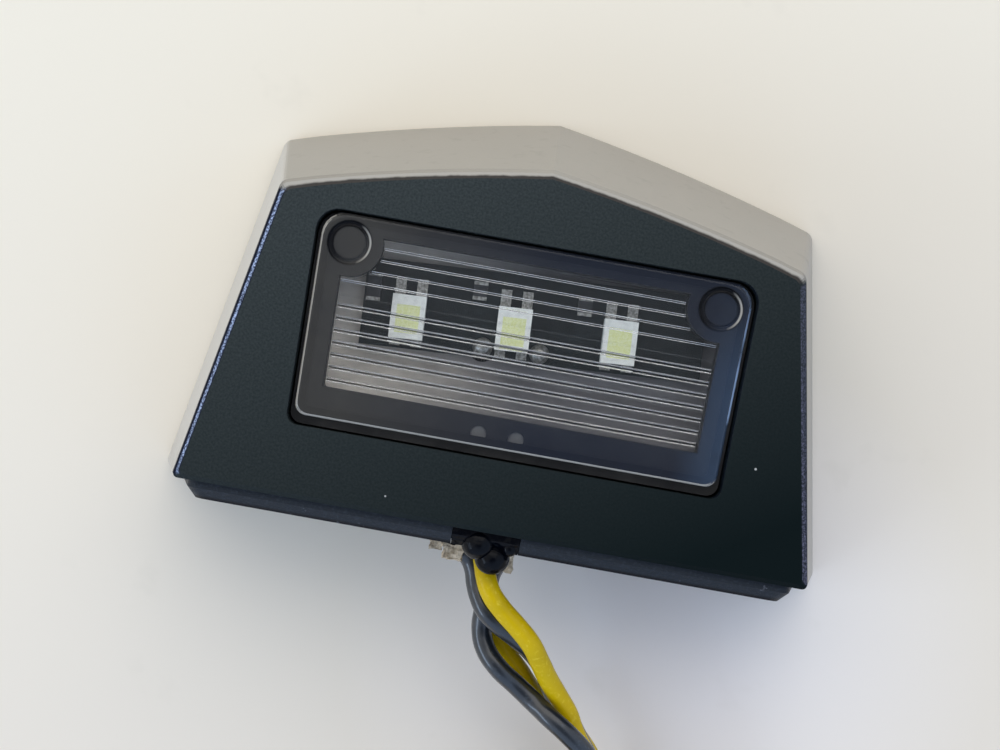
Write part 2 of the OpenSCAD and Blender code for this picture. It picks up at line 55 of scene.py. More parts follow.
# The mounting side is the plane from which the leads' points and the camera's place are measured.
WALL_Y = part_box("body")[0].y
FACE_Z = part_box("body")[1].z
LIP_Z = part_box("hood")[1].z

# The lens in millimetres, measured from the middle of the mounting side. Its sides slope outwards to the front.
LENS_LOW, LENS_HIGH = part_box("lens")
LENS_Z = LENS_HIGH.z / MM
LENS_HALF = LENS_HIGH.x / MM
LENS_REAR = (LENS_LOW.y - WALL_Y) / MM
LENS_FRONT = (LENS_HIGH.y - WALL_Y) / MM
LENS_TAPER = 0.023

# Widths of the lens's plain rim
RIM_SIDE = 2
RIM_REAR = 2.65
RIM_FRONT = 1.55

# Middle of the right peg, and how far its parts reach
PEG_X = LENS_HALF - 2.5
PEG_Y = LENS_FRONT - 2.4
PEG_RING = (1.25, 2)
PEG_PAD = 2.8

# Rearmost flute, with the underside of the window that the flutes hang from
FLUTE_PITCH = 1.05
FLUTE_Y = LENS_REAR + RIM_REAR + FLUTE_PITCH * 0.6
FLUTE_Z = LENS_Z - 2.2
REAR_FLUTES = 7

# Routes of the leads in millimetres, from the seal to just before their coils.
ROUTES = {
    "yellow_1": [
        (-0.1, -1.7, 11.7), (-0.1, -2.4, 11.7), (0.1, -3.1, 12.1), (0.4, -4, 12.6), (1, -5.2, 12.8),
        (2.3, -6.6, 12.4), (3.9, -7.9, 12.1), (5.3, -9.2, 11.6), (6.3, -10.6, 10.6), (7.4, -12.2, 9.2),
        (8.7, -13.8, 8.2), (9.8, -15.2, 7.6), (10.5, -16.5, 7.3), (11.8, -18.3, 6.9), (13.9, -20.9, 6.1),
        (16, -23.4, 5.3), (17.9, -25.8, 4.7),
    ],
    "black_1": [
        (-1.8, -1.7, 10.7), (-1.7, -2.3, 10.6), (-1.1, -3, 10.4), (-0.6, -3.9, 10.4), (-0.3, -4.9, 10.5),
        (0.2, -6, 10.8), (1, -7.1, 11.1), (2.2, -8, 10.9), (3.9, -9, 10), (5.4, -10, 8.9),
        (6.7, -11.3, 7.8), (7.6, -12.8, 6.9), (8.5, -14.2, 6.1), (9.8, -15.5, 5.5), (10.7, -16.8, 5.3),
        (11.9, -18.4, 5), (13.9, -20.9, 4.2), (16, -23.4, 3.4), (17.9, -25.8, 2.8),
    ],
    "black_2": [
        (1.3, -1.7, 10.2), (1.4, -2.4, 10), (1.1, -3.2, 9.5), (0.8, -4.3, 8.9), (0.8, -5.7, 8.8),
        (0.8, -7.3, 8.9), (0.9, -8.9, 8.6), (1.5, -10.5, 8.8), (2.8, -11.9, 9.1), (4.8, -13.3, 8.6),
        (6.6, -14.5, 8.7), (8.2, -15.5, 9.4), (9.8, -16.5, 9.5), (11.9, -18.2, 8.9), (14, -20.8, 8.1),
        (16, -23.4, 7.2), (17.9, -25.8, 6.6),
    ],
    "yellow_2": [
        (-0.1, -1.7, 9.1), (-0.1, -2.4, 8.5), (0, -3.2, 7.6), (0.3, -4.4, 6.9), (0.8, -5.8, 6.8),
        (1.4, -7.5, 6.8), (2.2, -9.2, 6.9), (3.4, -10.8, 6.8), (4.9, -12.3, 6.5), (6.2, -13.8, 5.3),
        (7.3, -14.8, 4.4), (8.9, -15.8, 3.5), (10.4, -16.9, 3.3), (12, -18.4, 3.1), (13.9, -20.9, 2.3),
        (16, -23.4, 1.4), (17.9, -25.8, 0.9),
    ],
}

# Middle of the coils in millimetres from the mounting side, and the angle in degrees at which they start
COIL_CENTRE = (11.5, -39.4)
COIL_START_ANGLE = 36.87
POINTS_PER_TURN = 24

# Width of the tears in the foam and how far they stand out, in millimetres
FOAM_TEAR = 0.8
FOAM_RAGGED = 0.7
FOAM_CUTS = 7

# Width of the table in metres, and how far it lies below the lamp
TABLE_WIDTH = 4
TABLE_DROP = 0.0002


def from_wall(point):
    """A point in millimetres from the mounting side, in the frame's metres."""
    return Vector((point[0] * MM, point[1] * MM + WALL_Y, point[2] * MM))


# Shader building

class Value:
    """A shader socket that Python's arithmetic extends with Math nodes."""

    def __init__(self, finish, socket):
        self.finish = finish
        self.socket = socket

    def math(self, operation, *others):
        return self.finish.math(operation, self, *others)

    def __add__(self, other):
        return self.math("ADD", other)

    def __radd__(self, other):
        return self.math("ADD", other)

    def __sub__(self, other):
        return self.math("SUBTRACT", other)

    def __rsub__(self, other):
        return self.finish.math("SUBTRACT", other, self)

    def __mul__(self, other):
        return self.math("MULTIPLY", other)

    def __truediv__(self, other):
        return self.math("DIVIDE", other)

    def __pow__(self, other):
        return self.math("POWER", other)


class Finish:
    """A material built of nodes round one Principled shader."""

    def __init__(self, name, colour, roughness, **plain):
        self.material = bpy.data.materials.new(name)
        self.material.use_nodes = True
        self.tree = self.material.node_tree
        self.tree.nodes.clear()
        self.shader = self.node("ShaderNodeBsdfPrincipled", {}, {"Base Color": colour, "Roughness": roughness})
        for socket, value in plain.items():
            self.set(socket.replace("_", " ").title().replace("Ior", "IOR"), value)
        self.output = self.tree.nodes.new("ShaderNodeOutputMaterial")
        self.feed(self.output.inputs["Surface"], self.shader)

    def node(self, kind, settings=None, inputs=None, output=0):
        """Adds a node, sets it up, feeds its inputs and returns one of its outputs."""
        node = self.tree.nodes.new(kind)
        for name, value in (settings or {}).items():
            setattr(node, name, value)
        for name, value in (inputs or {}).items():
            self.feed(node.inputs[name], value)
        return Value(self, node.outputs[output])

    def feed(self, socket, value):
        """Links another socket into this one, or sets its value."""
        if isinstance(value, Value):
            self.tree.links.new(value.socket, socket)
        elif hasattr(value, "__len__") and len(value) == 3 and socket.type == "RGBA":
            socket.default_value = (*value, 1)
        else:
            socket.default_value = value

    def set(self, name, value):
        """Feeds one socket of the Principled shader."""
        self.feed(self.shader.socket.node.inputs[name], value)

    def math(self, operation, *values):
        return self.node("ShaderNodeMath", {"operation": operation}, dict(enumerate(values)))

    def largest(self, first, *others):
        """The largest of some masks."""
        for other in others:
            first = self.math("MAXIMUM", first, other)
        return first

    def place(self, scale=(1, 1, 1)):
        """Object coordinates in millimetres, stretched by scale."""
        here = self.node("ShaderNodeTexCoord", {}, {}, output=3)
        size = [s / MM for s in scale]
        return self.node("ShaderNodeMapping", {}, {"Vector": here, "Scale": size})

    def axis(self, index):
        """One object coordinate in millimetres."""
        return self.node("ShaderNodeSeparateXYZ", {}, {0: self.place()}, output=index)

    def noise(self, scale, detail=4, roughness=0.5, stretch=(1, 1, 1)):
        """Noise with scale features a millimetre."""
        inputs = {"Vector": self.place(stretch), "Scale": scale, "Detail": detail, "Roughness": roughness}
        return self.node("ShaderNodeTexNoise", {}, inputs)

    def cells(self, scale):
        """Cells with scale of them a millimetre."""
        return self.node("ShaderNodeTexVoronoi", {}, {"Vector": self.place(), "Scale": scale})

    def ramp(self, value, low, high, start=0, end=1):
        """Maps value from low..high to start..end and clamps it."""
        inputs = {"Value": value, "From Min": low, "From Max": high, "To Min": start, "To Max": end}
        return self.node("ShaderNodeMapRange", {"clamp": True}, inputs)

    def mix(self, mask, first, second):
        """Mixes two colours."""
        inputs = {0: mask, 6: self.tint(first), 7: self.tint(second)}
        return self.node("ShaderNodeMix", {"data_type": "RGBA"}, inputs, output=2)

    def tint(self, colour):
        """A colour as a Mix node takes it."""
        return colour if isinstance(colour, Value) else (*colour, 1)

    def bump(self, height, depth, strength=1.0, below=None):
        """A bump of depth millimetres, on top of another if below is given."""
        inputs = {"Height": height, "Distance": depth * MM, "Strength": strength}
        if below is not None:
            inputs["Normal"] = below
        return self.node("ShaderNodeBump", {}, inputs)

    def facing(self, index):
        """One part of the surface's normal."""
        normal = self.node("ShaderNodeNewGeometry", {}, {}, output=1)
        return self.node("ShaderNodeSeparateXYZ", {}, {0: normal}, output=index)


class Sky(Finish):
    """A world built of the same kinds of node."""

    def __init__(self, name):
        self.world = bpy.data.worlds.new(name)
        self.world.use_nodes = True
        self.tree = self.world.node_tree
        self.background = self.tree.nodes["Background"]
        self.look = self.node("ShaderNodeTexCoord")

    def toward(self, direction):
        """How far the view points in a direction, from -1 to 1."""
        inputs = {0: self.look, 1: Vector(direction).normalized()}
        return self.node("ShaderNodeVectorMath", {"operation": "DOT_PRODUCT"}, inputs, output=1)


def dress(finish, *names):
    """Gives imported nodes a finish."""
    for name in names:
        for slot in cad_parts[name].material_slots:
            slot.material = finish.material


def numbered(stem, count):
    """The names stem_1, stem_2 and so on."""
    return [f"{stem}_{i + 1}" for i in range(count)]


# Sizes and colours that a user may change

class LampView(bpy.types.PropertyGroup):
    """Where the camera stands."""

    place: bpy.props.FloatVectorProperty(
        name="Place", description="Camera's place from the middle of the mounting side",
        default=(-0.00211, 0.01307, 0.205), unit="LENGTH", precision=5,
    )
    roll: bpy.props.FloatProperty(
        name="Roll", description="Turn of the picture", default=math.radians(10.18), unit="ROTATION",
    )
    lean: bpy.props.FloatProperty(
        name="Lean", description="Sideways lean of the camera", default=math.radians(0.2), unit="ROTATION",
    )
    lens: bpy.props.FloatProperty(
        name="Lens", description="Focal length on a 36 mm sensor", default=80.8, unit="CAMERA",
    )


class LampFinishes(bpy.types.PropertyGroup):
    """Colours of the lamp's surfaces."""

    hood: bpy.props.FloatVectorProperty(
        name="Hood", description="Satin silver of the hood", default=(0.34, 0.325, 0.295), subtype="COLOR",
    )
    body: bpy.props.FloatVectorProperty(
        name="Body", description="Black of the moulded body", default=(0.0012, 0.0048, 0.0053), subtype="COLOR",
    )
    yellow: bpy.props.FloatVectorProperty(
        name="Yellow lead", description="Yellow of two leads", default=(0.57, 0.39, 0.002), subtype="COLOR",
    )
    black: bpy.props.FloatVectorProperty(
        name="Black lead", description="Black of two leads", default=(0.009, 0.0125, 0.018), subtype="COLOR",
    )
    foam: bpy.props.FloatVectorProperty(
        name="Foam", description="Tan of the foam scraps", default=(0.66, 0.53, 0.37), subtype="COLOR",
    )
    tray: bpy.props.FloatVectorProperty(
        name="Tray", description="Pale grey of the reflector tray", default=(0.145, 0.14, 0.146), subtype="COLOR",
    )


class LampLeads(bpy.types.PropertyGroup):
    """Sizes of the four leads."""

    diameter: bpy.props.FloatProperty(
        name="Diameter", description="Diameter of a lead", default=0.0018, unit="LENGTH", precision=4,
    )
    length: bpy.props.FloatProperty(
        name="Length", description="Length of a lead outside the lamp", default=0.2, unit="LENGTH",
    )
    coil_radius: bpy.props.FloatProperty(
        name="Coil radius", description="Radius of the outer turn", default=0.0133, unit="LENGTH", precision=4,
    )
    coil_pitch: bpy.props.FloatProperty(
        name="Coil pitch", description="Distance between turns", default=0.0019, unit="LENGTH", precision=4,
    )


class LampStage(bpy.types.PropertyGroup):
    """Table, light and air round the lamp."""

    floor: bpy.props.FloatVectorProperty(
        name="Floor", description="Colour of the table", default=(0.772, 0.71, 0.59), subtype="COLOR",
    )
    sky: bpy.props.FloatVectorProperty(
        name="Sky", description="Colour of the soft light on the bright side", default=(1.0, 0.975, 0.93),
        subtype="COLOR",
    )
    shade: bpy.props.FloatVectorProperty(
        name="Shade", description="Colour of the soft light on the dim side", default=(0.68, 0.86, 1.18),
        subtype="COLOR",
    )
    sky_side: bpy.props.FloatVectorProperty(
        name="Bright side", description="Direction of the bright side", default=(-0.6, 0.8, 0), subtype="DIRECTION",
    )
    sky_strength: bpy.props.FloatProperty(
        name="Sky strength", description="Strength of the soft light all round", default=1.11,
    )
    window_power: bpy.props.FloatProperty(
        name="Window power", description="Power of the large window light", default=1.2, unit="POWER",
    )
    side_power: bpy.props.FloatProperty(
        name="Side window power", description="Power of the small cool light on the left", default=0.55, unit="POWER",
    )


# Camera and leads

class LAMP_OT_place_camera(bpy.types.Operator):
    """Looks almost straight down on the lens"""

    bl_idname = "lamp.place_camera"
    bl_label = "Place camera"

    def execute(self, context):
        view = context.scene.lamp_view
        data = bpy.data.cameras.new("camera")
        data.sensor_width = 36
        data.lens = view.lens
        data.clip_start = 0.01
        camera = bpy.data.objects.new("camera", data)
        context.scene.collection.objects.link(camera)
        camera.location = Vector(view.place) + Vector((0, WALL_Y, 0))
        camera.rotation_euler = (0, -view.lean, view.roll)
        context.scene.camera = camera
        return {"FINISHED"}


def coil_points(start_angle, height, radius, pitch, length):
    """Points of a flat spiral of that length, wound inwards and clockwise as seen from above."""
    turns = (radius - math.sqrt(radius ** 2 - pitch * length / math.pi)) / pitch
    count = math.ceil(turns * POINTS_PER_TURN)
    centre = from_wall((*COIL_CENTRE, 0))
    points = []
    for i in range(count + 1):
        turn = turns * i / count
        angle = start_angle - 2 * math.pi * turn
        reach = radius - pitch * turn
        points.append(centre + Vector((reach * math.cos(angle), reach * math.sin(angle), height)))
    return points


def lead_points(name, leads):
    """The route of a lead, then its coil, with the whole of its length."""
    route = [from_wall(p) for p in ROUTES[name]]
    height = route[-1].z
    start = math.radians(COIL_START_ANGLE)
    first = coil_points(start, height, leads.coil_radius, leads.coil_pitch, leads.coil_pitch)[0]
    straight = sum((b - a).length for a, b in zip(route, route[1:] + [first]))
    spiral = coil_points(start, height, leads.coil_radius, leads.coil_pitch, leads.length - straight)
    return route + [route[-1].lerp(first, 0.5)] + spiral


def lead_finish(name, colour, wear, shine, coat):
    """Smooth soft plastic with faint scuffs and dust."""
    finish = Finish(name, colour, 0.38, specular_ior_level=shine, coat_weight=coat, coat_roughness=0.17)
    cloud = finish.noise(0.35, 3)
    scuff = finish.ramp(finish.noise(2.2, 5, 0.65, (1, 1, 2)), 0.56, 0.72)
    shade = finish.mix(finish.ramp(cloud, 0.35, 0.7), colour, [c * 0.86 for c in colour])
    finish.set("Base Color", finish.mix(scuff * 0.5, shade, wear))
    finish.set("Roughness", 0.34 + scuff * 0.25)
    finish.set("Normal", finish.bump(finish.noise(3.5, 3), 0.03, 0.5))
    return finish


class LAMP_OT_make_leads(bpy.types.Operator):
    """Lays two yellow and two black leads from the seal into flat coils"""

    bl_idname = "lamp.make_leads"
    bl_label = "Leads"

    def execute(self, context):
        leads = context.scene.lamp_leads
        colours = context.scene.lamp_finishes
        finishes = {
            "yellow": lead_finish("yellow lead", colours.yellow[:], (0.78, 0.62, 0.06), 0.1, 0.08),
            "black": lead_finish("black lead", colours.black[:], (0.05, 0.065, 0.085), 0.3, 0.7),
        }
        for name in ROUTES:
            tint = name.split("_")[0]
            points = lead_points(name, leads)
            curve = bpy.data.curves.new("wire_" + name, "CURVE")
            curve.dimensions = "3D"
            curve.bevel_depth = leads.diameter / 2
            curve.bevel_resolution = 5
            curve.resolution_u = 6
            curve.use_fill_caps = True
            spline = curve.splines.new("BEZIER")
            spline.bezier_points.add(len(points) - 1)
            for knot, point in zip(spline.bezier_points, points):
                knot.co = point
                knot.handle_left_type = "AUTO"
                knot.handle_right_type = "AUTO"
            curve.materials.append(finishes[tint].material)
            wire = bpy.data.objects.new("wire_" + name, curve)
            context.scene.collection.objects.link(wire)
            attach(wire, "root")
            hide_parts("lead_" + name, "coil_" + name)
        dress(finishes["yellow"], "inner_yellow_1", "inner_yellow_2")
        dress(finishes["black"], "inner_black_1", "inner_black_2")
        return {"FINISHED"}


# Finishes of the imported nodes

class LAMP_OT_finish_hood(bpy.types.Operator):
    """Satin silver with fine flakes, a chipped rim and a painted highlight on its left flank"""

    bl_idname = "lamp.finish_hood"
    bl_label = "Hood finish"

    def execute(self, context):
        colour = context.scene.lamp_finishes.hood[:]
        finish = Finish("satin silver", colour, 0.42, metallic=0.55)
        # Flakes of the paint, clouds and grime
        flake = finish.ramp(finish.noise(14, 2), 0.35, 0.65)
        cloud = finish.ramp(finish.noise(0.12, 3), 0.3, 0.7)
        grime = finish.ramp(finish.noise(0.6, 5, 0.6), 0.58, 0.8)
        shade = finish.mix(cloud, colour, [c * 0.96 for c in colour])
        shade = finish.mix(flake * 0.16, shade, (0.72, 0.71, 0.7))
        shade = finish.mix(grime * 0.1, shade, [c * 0.6 for c in colour])
        # Left flank painted brighter as a painted highlight, with a brown corner on the mounting side and a chipped
        # rim
        flank = finish.ramp(finish.facing(0), -0.55, -0.8)
        shade = finish.mix(flank * 0.75, shade, (0.6, 0.59, 0.57))
        near_wall = finish.ramp(finish.axis(1), WALL_Y / MM + 4, WALL_Y / MM)
        corner = flank * near_wall * finish.ramp(finish.noise(0.8, 5, 0.7), 0.45, 0.65)
        shade = finish.mix(corner * 0.5, shade, (0.2, 0.15, 0.1))
        rim = finish.ramp(finish.axis(2), LIP_Z / MM - 0.35, LIP_Z / MM - 0.05) * flank
        chips = finish.ramp(finish.noise(3, 4, 0.7), 0.48, 0.6)
        finish.set("Base Color", finish.mix(rim * chips, shade, (0.1, 0.12, 0.2)))
        finish.set("Roughness", 0.36 + flake * 0.12 + grime * 0.15)
        finish.set("Normal", finish.bump(finish.noise(6, 3), 0.012, 0.5))
        dress(finish, "hood")
        return {"FINISHED"}


class LAMP_OT_finish_body(bpy.types.Operator):
    """Black plastic with a fine grain, a worn bevel with painted glints, and a painted sheen"""

    bl_idname = "lamp.finish_body"
    bl_label = "Body finish"

    def execute(self, context):
        colour = context.scene.lamp_finishes.body[:]
        silver = [c * 1.05 for c in context.scene.lamp_finishes.hood[:]]
        finish = Finish("black grain", colour, 0.5, specular_ior_level=0.07)
        grain = finish.noise(3.2, 3, 0.5)
        fine = finish.noise(8, 3, 0.6)
        # Where the surface is: the bevel, the wall under it, and the front and sides of both
        up = finish.facing(2)
        below = FACE_Z / MM - finish.axis(2)
        bevel = finish.ramp(up, 0.15, 0.35) * finish.ramp(up, 0.985, 0.93)
        lip = (FACE_Z - LIP_Z) / MM
        wall = finish.ramp(up, 0.35, 0.15) * finish.ramp(below, lip + 0.1, lip)
        past_lens = finish.ramp(finish.axis(1), WALL_Y / MM + 25, WALL_Y / MM + 25.2)
        front = finish.ramp(finish.facing(1), 0.2, 0.4) * past_lens
        left = finish.ramp(finish.facing(0), -0.3, -0.5)
        right = bevel * finish.ramp(finish.facing(0), 0.5, 0.65)
        # Specks and bands for the painted glints along the bevels, and dust
        speck = finish.ramp(finish.noise(6, 4, 0.75), 0.45, 0.6)
        band = finish.ramp(finish.math("ABSOLUTE", below - 0.16), 0.13, 0.04)
        patch = finish.ramp(finish.noise(0.35, 4, 0.7), 0.35, 0.5, 0.4, 1)
        dust = finish.ramp(finish.noise(1.3, 6, 0.7), 0.66, 0.84)
        # Painted sheen: the face is painted paler towards the nose's left, as a painted reflection. Its front bevels
        # are worn down to silver, and its left-facing bevel and wall are tinted dark blue
        painted_sheen = finish.ramp(finish.axis(0) * 0.6 - finish.axis(1), 26, -18)
        shade = finish.mix(painted_sheen, colour, (0.037, 0.044, 0.044))
        shade = finish.mix(finish.ramp(finish.noise(5, 3, 0.6), 0.35, 0.65) * 0.4, shade, colour)
        shade = finish.mix(dust * 0.15, shade, (0.04, 0.05, 0.055))
        shade = finish.mix(left * (bevel + wall * 0.5), shade, (0.003, 0.005, 0.016))
        # Painted glints: blue-white sparkle on the left bevel and grey sparkle on the right bevel
        shade = finish.mix(left * bevel * band * patch * (0.1 + speck * 0.9), shade, (0.42, 0.52, 0.76))
        shade = finish.mix(right * (0.08 + speck * 0.8), shade, (0.13, 0.13, 0.19))
        waver = below + finish.noise(1.2, 3) * 0.12
        shade = finish.mix(front * bevel * 0.7, shade, (0.05, 0.042, 0.038))
        rubbed_and_painted_light = finish.largest(wall, bevel * finish.ramp(waver, 0.2, 0.32))
        shade = finish.mix(front * rubbed_and_painted_light, shade, silver)
        dots = finish.ramp(finish.cells(0.25), 0.03, 0.02) * finish.ramp(up, 0.98, 0.99)
        finish.set("Base Color", finish.mix(dots * 0.7, shade, (0.5, 0.5, 0.48)))
        finish.set("Roughness", 0.5 + fine * 0.12)
        low = finish.bump(grain, 0.035, 0.5)
        finish.set("Normal", finish.bump(fine, 0.02, 0.5, low))
        dress(finish, "body")
        return {"FINISHED"}


class LAMP_OT_finish_lens(bpy.types.Operator):
    """Clear plastic that lets lamps through to the board, with painted reflections, shade and highlights on its rim,
    edges and flutes
    """

    bl_idname = "lamp.finish_lens"
    bl_label = "Lens finish"

    def execute(self, context):
        finish = Finish("clear lens", (0.95, 0.96, 0.97), 0.03, transmission_weight=1.0, ior=1.49)
        smear = finish.ramp(finish.noise(0.25, 4, 0.6), 0.5, 0.8)
        finish.set("Roughness", 0.02 + smear * 0.04)
        finish.set("Normal", finish.bump(finish.noise(0.5, 2), 0.02, 0.3))
        across = finish.axis(0)
        along = finish.axis(1) - WALL_Y / MM
        height = finish.axis(2)
        wide = finish.math("ABSOLUTE", across)
        to_peg = ((wide - PEG_X) ** 2 + (along - PEG_Y) ** 2) ** 0.5
        from_peg = across - finish.math("SIGN", across) * PEG_X

        # The plain rim round the window, with a corner round each peg
        beyond = wide - (along - LENS_FRONT) * LENS_TAPER - LENS_HALF + RIM_SIDE
        rim = finish.largest(
            finish.ramp(beyond, -0.08, 0.08),
            finish.ramp(along - LENS_FRONT + RIM_FRONT, -0.08, 0.08),
            finish.ramp(along - LENS_REAR - RIM_REAR, 0.08, -0.08),
            finish.ramp(to_peg, PEG_PAD + 0.1, PEG_PAD - 0.05),
        )

        # Painted shade in the dark ring round each peg, with a painted glint on its right
        ring_in, ring_out = PEG_RING
        ring = finish.ramp(to_peg, ring_in, ring_in + 0.15) * finish.ramp(to_peg, ring_out, ring_out - 0.15)
        dim = finish.ramp(from_peg - (along - PEG_Y), 2, 0, 0.35, 1)
        glint = finish.ramp(from_peg, 0.7, 1.6) * finish.ramp(to_peg, 1.6, 1.68) * finish.ramp(to_peg, 1.84, 1.76)

        # Painted highlights on the rounded edge, warm on the left and rear and blue on the right
        up = finish.facing(2)
        slope = finish.ramp(up, 0.35, 0.5) * finish.ramp(up, 0.97, 0.9) * (1 - finish.ramp(to_peg, 2.3, 2.1))
        left, rear = [finish.ramp(finish.facing(i), -0.25, -0.45) for i in (0, 1)]
        side = finish.largest(left, rear)
        bright = finish.ramp(finish.facing(0), 0.25, 0.45) * finish.ramp(finish.noise(0.15, 2), 0.42, 0.55)

        # Colour of the painted sheet on all of these: painted reflections, paler on the left and bluer near the right
        # edge, a random smear, and the painted shade, glint and highlights
        mottle_and_painted_light = finish.mix(finish.ramp(across, -14, 2), (0.06, 0.057, 0.052), (0.02, 0.024, 0.036))
        cool = finish.ramp(across, 14, 17.8) * finish.ramp(along, 22, 16, 0.15, 1)
        mottle_and_painted_light = finish.mix(cool, mottle_and_painted_light, (0.045, 0.07, 0.115))
        mottle_and_painted_light = finish.mix(smear * 0.4, mottle_and_painted_light, (0.02, 0.022, 0.028))
        mottle_and_painted_light = finish.mix(ring * dim, mottle_and_painted_light, (0.006, 0.006, 0.007))
        mottle_and_painted_light = finish.mix(glint, mottle_and_painted_light, (0.42, 0.4, 0.36))
        mottle_and_painted_light = finish.mix(slope * side, mottle_and_painted_light, (0.56, 0.525, 0.46))
        mottle_and_painted_light = finish.mix(slope * bright, mottle_and_painted_light, (0.4, 0.55, 0.8))
        top = finish.ramp(height, LENS_Z - 0.6, LENS_Z - 0.5)
        amount = finish.largest(rim * 0.6, ring * 0.85, slope * 0.6) * top

        # A painted dark line down the middle of each rear flute, with a painted highlight on either side of it
        step = finish.math("ABSOLUTE", finish.math("FRACT", (along - FLUTE_Y) / FLUTE_PITCH + 0.5) - 0.5)
        last_flute = FLUTE_Y + REAR_FLUTES * FLUTE_PITCH
        fluted = finish.ramp(height, FLUTE_Z + 0.1, FLUTE_Z)
        fluted = fluted * finish.ramp(along, last_flute, last_flute - FLUTE_PITCH / 2)
        line = finish.ramp(step, 0.085, 0.055) * fluted
        shine = finish.ramp(step, 0.09, 0.12) * finish.ramp(step, 0.23, 0.18) * fluted
        mottle_and_painted_light = finish.mix(line, mottle_and_painted_light, (0.008, 0.008, 0.009))
        mottle_and_painted_light = finish.mix(shine, mottle_and_painted_light, (0.66, 0.63, 0.58))
        broken = finish.ramp(finish.noise(0.2, 3), 0.4, 0.6, 0.2, 0.5)
        amount = finish.largest(amount, line * 0.75 + shine * broken)
        mottle_and_painted_sheet = finish.node("ShaderNodeBsdfDiffuse", {}, {"Color": mottle_and_painted_light})
        rubbed_and_painted_light = finish.node("ShaderNodeMixShader", {}, {0: amount, 1: finish.shader, 2: mottle_and_painted_sheet})
        # Light that passes on its way to another surface isn't bent, so that the board is lit evenly
        through = finish.node("ShaderNodeBsdfTransparent", {}, {"Color": (0.86, 0.88, 0.9, 1)})
        rays = finish.node("ShaderNodeLightPath", {}, {}, output=1)
        glass = finish.node("ShaderNodeMixShader", {}, {0: rays, 1: rubbed_and_painted_light, 2: through})
        finish.feed(finish.output.inputs["Surface"], glass)
        dress(finish, "lens")
        return {"FINISHED"}


class LAMP_OT_finish_inside(bpy.types.Operator):
    """Tray, board, lights, chips and solder under the lens"""

    bl_idname = "lamp.finish_inside"
    bl_label = "Inside finishes"

    def execute(self, context):
        tray_colour = context.scene.lamp_finishes.tray[:]
        tray = Finish("tray plastic", tray_colour, 0.35)
        mottle_and_painted_sheet = tray.ramp(tray.noise(0.4, 4), 0.35, 0.7)
        # Painted light: the tray is painted paler towards the left, where its shelf lies in shade
        shade = tray.mix(tray.ramp(tray.axis(0), -16, 0), (0.78, 0.71, 0.62), tray_colour)
        shade = tray.mix(mottle_and_painted_sheet * 0.3, shade, [c * 0.6 for c in tray_colour])
        pins = tray.ramp(tray.axis(1), WALL_Y / MM + 9.2, WALL_Y / MM + 8.9)
        tray.set("Base Color", tray.mix(pins, shade, (0.5, 0.48, 0.44)))
        tray.set("Normal", tray.bump(tray.noise(3, 3), 0.02, 0.4))
        dress(tray, "reflector_tray")

        board = Finish("board varnish", (0.012, 0.018, 0.018), 0.3, specular_ior_level=0.2)
        weave = board.node("ShaderNodeTexWave", {}, {"Vector": board.place(), "Scale": 1.6, "Distortion": 0.4})
        tracks = board.ramp(board.cells(0.28), 0.42, 0.46)
        board.set("Base Color", board.mix(tracks * 0.6, (0.006, 0.01, 0.011), (0.012, 0.017, 0.019)))
        board.set("Normal", board.bump(weave, 0.006, 0.4))
        dress(board, "circuit_board")

        case = Finish("light case", (0.84, 0.84, 0.8), 0.32)
        aged = case.ramp(case.noise(2, 3), 0.4, 0.8)
        case.set("Base Color", case.mix(aged, (0.88, 0.86, 0.77), (0.72, 0.7, 0.62)))
        dress(case, *numbered("led", 3))

        phosphor = Finish("phosphor", (0.75, 0.72, 0.33), 0.3)
        dots = phosphor.ramp(phosphor.noise(6, 2), 0.4, 0.7)
        phosphor.set("Base Color", phosphor.mix(dots, (0.78, 0.78, 0.34), (0.86, 0.86, 0.52)))
        dress(phosphor, *numbered("phosphor", 3))

        solder = Finish("solder", (0.42, 0.41, 0.38), 0.3, metallic=0.7)
        grain = solder.noise(4, 4, 0.6)
        clean = solder.ramp(grain, 0.4, 0.65)
        solder.set("Base Color", solder.mix(clean, (0.2, 0.19, 0.17), (0.5, 0.49, 0.45)))
        solder.set("Roughness", 0.2 + grain * 0.25)
        solder.set("Normal", solder.bump(grain, 0.05, 0.7))
        dress(solder, *numbered("led_solder", 3), "chip_caps", "joint_yellow", "joint_black")

        chip = Finish("chip", (0.015, 0.015, 0.017), 0.35)
        marks = chip.ramp(chip.noise(1.4, 3), 0.45, 0.6)
        chip.set("Base Color", chip.mix(marks, (0.012, 0.012, 0.014), (0.03, 0.03, 0.034)))
        dress(chip, *numbered("resistor", 3))

        seat = Finish("seat black", (0.016, 0.016, 0.016), 0.5, specular_ior_level=0.3)
        mottle_and_painted_light = seat.ramp(seat.noise(0.2, 4, 0.6), 0.4, 0.7)
        seat.set("Base Color", seat.mix(mottle_and_painted_light, (0.012, 0.012, 0.013), (0.034, 0.033, 0.032)))
        seat.set("Normal", seat.bump(seat.noise(4, 3), 0.02, 0.4))
        dress(seat, "seat_frame", "lens_seal")
        return {"FINISHED"}


